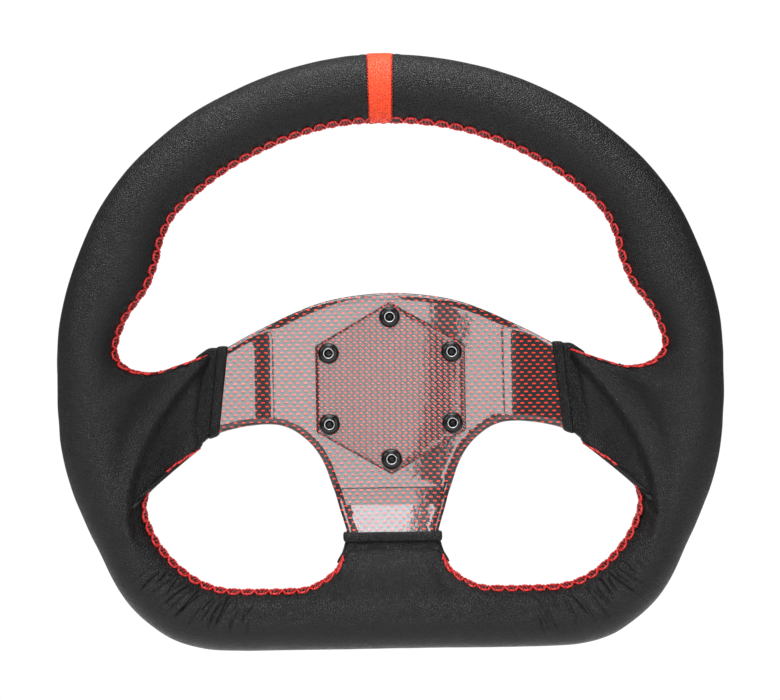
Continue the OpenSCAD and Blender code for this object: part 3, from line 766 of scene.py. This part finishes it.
def inset(poly, d):
    n = len(poly)
    prev, nxt = np.roll(poly, 1, 0), np.roll(poly, -1, 0)
    e1 = poly - prev; e2 = nxt - poly
    e1 /= np.linalg.norm(e1, axis=1)[:, None] + 1e-12
    e2 /= np.linalg.norm(e2, axis=1)[:, None] + 1e-12
    n1 = np.stack([e1[:, 1], -e1[:, 0]], 1); n2 = np.stack([e2[:, 1], -e2[:, 0]], 1)
    b = n1 + n2
    b /= np.maximum((b * n1).sum(1), 0.6)[:, None]
    return poly + b * d

def poly_area(p):
    x, y = p[:, 0], p[:, 1]
    return 0.5 * np.sum(x * np.roll(y, -1) - np.roll(x, -1) * y)

def seg_dist(pts, poly):
    out = np.full(len(pts), 1e9)
    n = len(poly)
    for i in range(n):
        a, b = poly[i], poly[(i + 1) % n]
        d = b - a
        t = np.clip(((pts - a) @ d) / (d @ d + 1e-12), 0, 1)
        q = a + t[:, None] * d
        out = np.minimum(out, np.hypot(*(pts - q).T))
    return out

def slab(name, outline, mid, half_t, edge_r, edge_w, grid, mat, holes=()):
    """Plate with rolled edges: rings near the outline and a dense inside."""
    if poly_area(outline) > 0:
        outline = outline[::-1]
    dists = [0.0]
    th = np.linspace(0, np.pi / 2, 7)[1:]
    steps = edge_w * (1 - np.cos(th))
    heights = half_t * 0 + np.sin(th)
    rings = [outline]
    hs = [0.0]
    for s, h in zip(steps, heights):
        rings.append(inset(outline, s if s > 0 else 0)); hs.append(h)
    # which way is inward
    if abs(poly_area(rings[-1])) > abs(poly_area(outline)):
        rings = [outline] + [inset(outline, -s) for s in steps]
    inner = rings[-1]
    # interior points
    lo, hi = inner.min(0), inner.max(0)
    gx = np.arange(lo[0], hi[0], grid); gz = np.arange(lo[1], hi[1], grid)
    pts = np.array([(x + (grid / 2 if j % 2 else 0), z) for j, z in enumerate(gz) for x in gx])
    # inside test
    ins = np.zeros(len(pts), bool)
    n = len(inner)
    for i in range(n):
        a, b = inner[i], inner[(i + 1) % n]
        c = ((a[1] > pts[:, 1]) != (b[1] > pts[:, 1]))
        with np.errstate(divide="ignore", invalid="ignore"):
            xx = (b[0] - a[0]) * (pts[:, 1] - a[1]) / (b[1] - a[1]) + a[0]
        ins ^= c & (pts[:, 0] < xx)
    pts = pts[ins]
    pts = pts[seg_dist(pts, inner) > grid * 0.45]
    loops = []
    for (hx, hz, hr) in holes:
        k = 40
        a = np.arange(k) / k * 2 * np.pi
        loops.append(np.stack([hx + hr * np.cos(a), hz + hr * np.sin(a)], 1))
        pts = pts[np.hypot(pts[:, 0] - hx, pts[:, 1] - hz) > hr + grid * 0.35]
    allp = [inner] + loops + [pts]
    P2 = np.vstack(allp)
    edges, o = [], 0
    for lp in [inner] + loops:
        m = len(lp)
        edges += [(o + i, o + (i + 1) % m) for i in range(m)]
        o += m
    vo, eo, fo, ov, oe, of = delaunay_2d_cdt([Vector(p) for p in P2], edges, [], 0, 1e-6)
    V2 = np.array([tuple(v) for v in vo])
    tri = np.array([f for f in fo if len(f) == 3])
    c = V2[tri].mean(1)
    def inside(q, poly):
        r = np.zeros(len(q), bool)
        for i in range(len(poly)):
            a, b = poly[i], poly[(i + 1) % len(poly)]
            cc = ((a[1] > q[:, 1]) != (b[1] > q[:, 1]))
            with np.errstate(divide="ignore", invalid="ignore"):
                xx = (b[0] - a[0]) * (q[:, 1] - a[1]) / (b[1] - a[1]) + a[0]
            r ^= cc & (q[:, 0] < xx)
        return r
    keep = inside(c, inner)
    for lp in loops:
        keep &= ~inside(c, lp)
    tri = tri[keep]
    nv = len(V2)
    ymid = mid(V2[:, 0], V2[:, 1])
    V = [np.stack([V2[:, 0], ymid - half_t, V2[:, 1]], 1), np.stack([V2[:, 0], ymid + half_t, V2[:, 1]], 1)]
    F = [tuple(t) for t in tri] + [tuple(t[::-1] + nv) for t in tri]
    base = 2 * nv
    nr = len(inner)
    # find the inner ring's vertices in the triangulation output
    look = {}
    for i, lst in enumerate(ov):
        for o_ in lst:
            look[o_] = i
    prev_f = [look[i] for i in range(nr)]
    prev_b = [look[i] + nv for i in range(nr)]
    for ring, h in list(zip(rings, hs))[::-1][1:]:
        ym = mid(ring[:, 0], ring[:, 1])
        last = h == 0.0
        vf = np.stack([ring[:, 0], ym - half_t + (1 - h) * edge_r if not last else ym - half_t + edge_r, ring[:, 1]], 1)
        vb = np.stack([ring[:, 0], ym + half_t - (1 - h) * edge_r if not last else ym + half_t - edge_r, ring[:, 1]], 1)
        V += [vf, vb]
        cf = [base + i for i in range(nr)]; cb = [base + nr + i for i in range(nr)]
        base += 2 * nr
        for i in range(nr):
            j = (i + 1) % nr
            F.append((prev_f[i], prev_f[j], cf[j], cf[i]))
            F.append((prev_b[j], prev_b[i], cb[i], cb[j]))
        prev_f, prev_b = cf, cb
    for i in range(nr):
        j = (i + 1) % nr
        F.append((prev_f[i], prev_f[j], prev_b[j], prev_b[i]))
    o = nr
    for lp in loops:
        m = len(lp)
        ids = [look[o + i] for i in range(m)]
        for i in range(m):
            j = (i + 1) % m
            F.append((ids[i], ids[j], ids[j] + nv, ids[i] + nv))
        o += m
    V = np.vstack(V)
    ob = mesh_obj(name, V, F, [mat])
    fix_normals(ob)
    return ob

# The plate's mid surface; no crown is added.
def plate_mid_crowned(x, z):
    return plate_mid(x, z) - 0.0

plate = slab("spoke_plate_moulding", outline_smooth(), plate_mid_crowned, PLATE_T / 2, 2.3, 3.6, 2.4, M_PLATE,
             holes=[(0, 0, 15.0)])
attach(plate, "wheel"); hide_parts("spoke_plate")

def hex_outline(af, rc, n=8):
    R = af / math.sqrt(3)
    pts = []
    for i in range(6):
        a = math.radians(90 + 60 * i)
        # centre of the corner's rounding
        cr = R - rc / math.cos(math.radians(30))
        cx, cz = cr * math.cos(a), cr * math.sin(a)
        for t in np.linspace(-30, 30, n):
            b = a + math.radians(t)
            pts.append((cx + rc * math.cos(b), cz + rc * math.sin(b)))
    p = np.array(pts)
    # even spacing along the straight sides
    out = []
    for i in range(len(p)):
        a, b = p[i], p[(i + 1) % len(p)]
        k = max(1, int(np.linalg.norm(b - a) / 2.0))
        for t in range(k):
            out.append(a + (b - a) * t / k)
    return np.array(out)
six_holes = [(35 * math.cos(math.radians(90 + 60 * i)), 35 * math.sin(math.radians(90 + 60 * i)), 2.75) for i in range(6)]
cover = slab("hex_cover_moulding", hex_outline(73.8, 1.4), lambda x, z: np.full(np.shape(x), YF - 1.5), 1.5, 0.9, 1.3, 2.6, M_COVER, holes=six_holes)
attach(cover, "wheel"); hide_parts("hex_cover")

# ------------------------------------------------------------------ screws
def button_screws():
    V, F, MI = [], [], []
    seg = 48
    top = YF - 3.0
    # profile: radius, height above the cover; in the rings below a third value marks the hexagon socket and a fourth
    # picks the bare rim's material
    dome = [(2.45, -8.0), (2.5, -0.05), (4.95, -0.02), (5.15, 0.18)]
    for t in np.linspace(0.10, 1.0, 10):
        a = math.radians(6 + 62 * t)
        dome.append((5.15 * math.cos(math.radians(62 * t)), 0.25 + 2.45 * math.sin(math.radians(90 * t)) ** 0.9))
    dome = [d for d in dome if d[0] > 2.55 or d[1] < 0]
    o = 0
    for i in range(6):
        cx, cz = 35 * math.cos(math.radians(90 + 60 * i)), 35 * math.sin(math.radians(90 + 60 * i))
        rot = [0.3, 0.9, 0.1, 0.65, 0.45, 0.2][i]
        rings = []
        for (r, h) in dome:
            rings.append((r, h, 0, 0))
        rings += [(2.50, 2.72, 0, 1), (2.34, 2.74, 0, 1), (2.20, 2.62, 0, 1), (2.05, 2.36, 0, 0), (1.73, 2.20, 1, 0), (1.73, 1.2, 1, 0), (1.2, 0.85, 1, 0), (0.0, 0.6, 0, 0)]
        for (r, h, hx, mi) in rings:
            for k in range(seg):
                a = 2 * math.pi * k / seg + rot
                rr = r
                if hx:
                    b = ((a - rot) % (math.pi / 3)) - math.pi / 6
                    rr = r * math.cos(math.pi / 6) / math.cos(b) * 1.0
                V.append((cx + rr * math.cos(a), top - h, cz + rr * math.sin(a)))
        nr = len(rings)
        for j in range(nr - 1):
            for k in range(seg):
                q = (k + 1) % seg
                F.append((o + j * seg + k, o + j * seg + q, o + (j + 1) * seg + q, o + (j + 1) * seg + k))
                MI.append(1 if rings[j][3] and rings[j + 1][3] else 0)
        F.append(tuple(o + k for k in range(seg))); MI.append(0)
        o += nr * seg
    ob = mesh_obj("button_head_screws", V, F, [M_BLACKMETAL, M_BARE], face_mat=MI)
    fix_normals(ob)
    return ob
screws = button_screws()
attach(screws, "wheel"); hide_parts("cover_bolts")

# ------------------------------------------------------------------ cuffs
def cuff(name, node, side):
    """Folded leather strip round a spoke, a groove behind it, and the sleeve that goes under the pad."""
    hp = PLATE_T / 2
    # distance from the strip's plate-side edge, thickness over the plate
    prof = [(0.25, -0.9), (0.0, 0.1), (0.0, 1.1), (0.3, 1.75), (0.9, 2.05), (1.9, 2.1), (3.0, 2.0), (4.0, 1.8), (4.7, 1.45),
            (5.1, 0.9), (5.4, 0.40), (6.2, 0.15), (7.4, 0.15), (8.8, 0.3), (10.2, 0.5), (12.5, 1.0), (16.0, 1.5), (16.2, -0.9)]
    if side == "b":
        ka = [0, 5, 7, 9, 12, 16]
        top = lambda d: (np.interp(d, ka, [22.7, 22.9, 23.0, 24.0, 25.2, 27.0]), -70.2 - d * 0.92)
        bot = lambda d: (-np.interp(d, ka, [22.7, 22.9, 23.0, 24.0, 25.2, 27.0]), -70.2 - d * 0.92)
    else:
        ka = [0, 4, 6, 8, 10, 12, 16]
        top = lambda d: (79.6 + d, np.interp(d, ka, [20.3, 20.6, 21.0, 21.2, 20.4, 18.4, 15.5]))
        bot = lambda d: (84.2 + d * 0.96, np.interp(d, ka, [-20.4, -21.8, -23.2, -25.0, -26.2, -27.0, -26.0]))
    nA = 160
    P = np.zeros((nA, len(prof), 3))
    for j, (dd, th) in enumerate(prof):
        a, b = np.array(top(dd)), np.array(bot(dd))
        half = np.linalg.norm(b - a) / 2
        c = (a + b) / 2
        e = (b - a) / (2 * half)
        H = hp + th
        W = half + th * 0.75
        r = min(2.4, H * 0.8)
        for i in range(nA):
            f = (i + 0.5) / nA
            per = 4 * W + 4 * H
            q = f * per
            if q < 2 * W: u, v = W - q, H
            elif q < 2 * W + 2 * H: u, v = -W, H - (q - 2 * W)
            elif q < 4 * W + 2 * H: u, v = -W + (q - 2 * W - 2 * H), -H
            else: u, v = W, -H + (q - 4 * W - 2 * H)
            uu, vv = abs(u), abs(v)
            if uu > W - r and vv > H - r:
                du, dv = uu - (W - r), vv - (H - r)
                L = math.hypot(du, dv)
                uu, vv = W - r + du / L * r, H - r + dv / L * r
            u, v = math.copysign(uu, u), math.copysign(vv, v)
            x, z = c - e * u
            P[i, j] = (x, v, z)
    P[..., 1] = plate_mid(P[..., 0], P[..., 2]) - P[..., 1]
    di = np.roll(P, -1, 0) - np.roll(P, 1, 0)
    dk = np.gradient(P, axis=1)
    N = np.cross(di, dk); N /= np.linalg.norm(N, axis=2)[..., None] + 1e-9
    c = P.mean(0, keepdims=True)
    if (N[:, 6] * (P[:, 6] - c[0, 6])).sum() < 0: N = -N
    q = P.reshape(-1, 3)
    wob = (0.22 * vnoise(q, 7.0, 31) + 0.10 * vnoise(q, 2.6, 33)).reshape(P.shape[:2])
    mask = np.array([0, .2, .5, .8, 1, 1, 1, 1, 1, .8, .6, .6, .8, 1, 1, .5, 0, 0])
    P = P + N * (wob * mask[None])[..., None]
    n, m = P.shape[:2]
    F = grid_faces(n, m, True, True)
    V = P.reshape(-1, 3)
    if side == "l":
        V = V * np.array([-1, 1, 1])
    ob = mesh_obj(name, V, F, [M_CUFF])
    fix_normals(ob)
    mod = ob.modifiers.new("round", "SUBSURF"); mod.levels = 1; mod.render_levels = 1
    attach(ob, "wheel"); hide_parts(node)
    return ob
cuff("cuff_right_strip", "cuff_right", "r")
cuff("cuff_left_strip", "cuff_left", "l")
cuff("cuff_bottom_strip", "cuff_bottom", "b")

# ------------------------------------------------------------------ CAD nodes that keep their shape
def dress(node, mat):
    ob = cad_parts[node]
    ob = ob if isinstance(ob, bpy.types.Object) else bpy.data.objects[ob]
    for s in ob.material_slots:
        s.material = mat
    if not ob.material_slots:
        ob.data.materials.append(mat)
for n, m in (("column_hub", M_HUB), ("hub_seal_ring", M_RUBBER), ("wheel_adapter", M_ADAPTER), ("release_ring", M_RING),
             ("release_spring", M_STEEL), ("retaining_clip", M_STEEL), ("rim_core", M_ALU), ("core_screws", M_ZINC)):
    dress(n, m)
for i in range(6):
    dress(f"lock_ball_{i + 1}", M_BALL)

# ------------------------------------------------------------------ stage
def stage_floor():
    z0 = -330.0
    V = [(-1800, -2600, z0), (1800, -2600, z0), (1800, 870, z0), (-1800, 870, z0)]
    ob = mesh_obj("studio_floor", V, [(0, 1, 2, 3)], smooth=False)
    m, nt, b = new_mat("studio_white")
    g = G(nt)
    nt.links.new(g.mix(g.noise(3.0), (0.93, 0.93, 0.93), (0.96, 0.96, 0.96)), b.inputs["Base Color"])
    b.inputs["Roughness"].default_value = 0.9
    b.inputs["Specular IOR Level"].default_value = 0.1
    b.inputs["Emission Color"].default_value = (1, 1, 1, 1)
    b.inputs["Emission Strength"].default_value = 0.12
    ob.data.materials.append(m)
stage_floor()

world = bpy.data.worlds.new("studio")
bpy.context.scene.world = world
world.use_nodes = True
bg = world.node_tree.nodes.get("Background") or world.node_tree.nodes.new("ShaderNodeBackground")
wt = world.node_tree
wc = wt.nodes.new("ShaderNodeTexCoord")
wx = wt.nodes.new("ShaderNodeSeparateXYZ")
wr = wt.nodes.new("ShaderNodeMapRange")
wr.interpolation_type = "SMOOTHSTEP"
wt.links.new(wc.outputs["Generated"], wx.inputs[0])
wt.links.new(wx.outputs[1], wr.inputs[0])
for i, q in enumerate((0.86, 0.960, 0.16, 1.03)):
    wr.inputs[i + 1].default_value = q
wt.links.new(wr.outputs[0], bg.inputs[0])
bg.inputs[1].default_value = 1.0
outn = world.node_tree.nodes.get("World Output") or world.node_tree.nodes.new("ShaderNodeOutputWorld")
world.node_tree.links.new(bg.outputs[0], outn.inputs[0])

def area(name, loc, look, w, h, radiance, roll=0.0, col=(1, 1, 1)):
    """Rectangular soft light of given radiance facing look."""
    li = bpy.data.lights.new(name, "AREA")
    li.shape = "RECTANGLE"
    li.size, li.size_y = w * MM, h * MM
    # radiance = power / (pi * area)
    li.energy = radiance * math.pi * (w * MM) * (h * MM)
    li.color = col
    ob = bpy.data.objects.new(name, li)
    bpy.context.scene.collection.objects.link(ob)
    ob.location = Vector(loc) * MM
    d = (Vector(look) - Vector(loc)).normalized()
    ob.rotation_euler = (d.to_track_quat("-Z", "Y").to_matrix().to_4x4() @ Matrix.Rotation(math.radians(roll), 4, "Z")).to_euler()
    return ob

CY = -88.0 - 1060.0
# big softbox round the camera, left of a dark gap
area("soft_front_left", (-62, CY - 120, -10), (-62, 0, -10), 196, 420, 8.0, roll=-7)
area("soft_front_right", (104, CY - 120, 10), (104, 0, 10), 62, 340, 8.0, roll=-7)
area("soft_right", (560, CY + 180, 20), (-70, -70, 0), 210, 330, 8.0)
area("soft_top_left", (-26, -1010, 1094), (-26, -70, -60), 100, 190, 15.0, col=(0.92, 0.95, 1.0))
area("soft_top_right", (68, -1010, 1094), (68, -70, -60), 44, 190, 15.0, col=(0.92, 0.95, 1.0))
area("soft_bridge", (-62, -1085, 545), (-62, -70, -50), 180, 690, 7.0)
area("overhead", (0, -60, 1200), (0, -88, 0), 1000, 160, 22.0)
area("key_high", (-160, -480, 1180), (0, -88, 0), 1000, 420, 14.0)
area("fill_up_left", (-900, -900, 700), (0, -88, 0), 500, 500, 8.0)
area("fill_up_right", (950, -900, 640), (0, -88, 0), 420, 420, 5.0)
area("fill_left", (-1200, -700, 250), (0, -80, 0), 420, 700, 0.7)
area("fill_right", (1250, -600, 250), (0, -80, 0), 420, 700, 0.5)

# ------------------------------------------------------------------ camera
cam = bpy.data.cameras.new("camera")
cam.sensor_width = 36.0
cam.lens = 36.0 * 1060.0 / 375.0
cam.clip_end = 50
co = bpy.data.objects.new("camera", cam)
bpy.context.scene.collection.objects.link(co)
co.location = Vector((0.0, CY, 18.75)) * MM
co.rotation_euler = (Matrix.Rotation(math.radians(90), 4, "X") @ Matrix.Rotation(math.radians(-0.87), 4, "Z")).to_euler()
bpy.context.scene.camera = co
bpy.context.scene.view_settings.view_transform = "Standard"
bpy.context.scene.view_settings.look = "None"
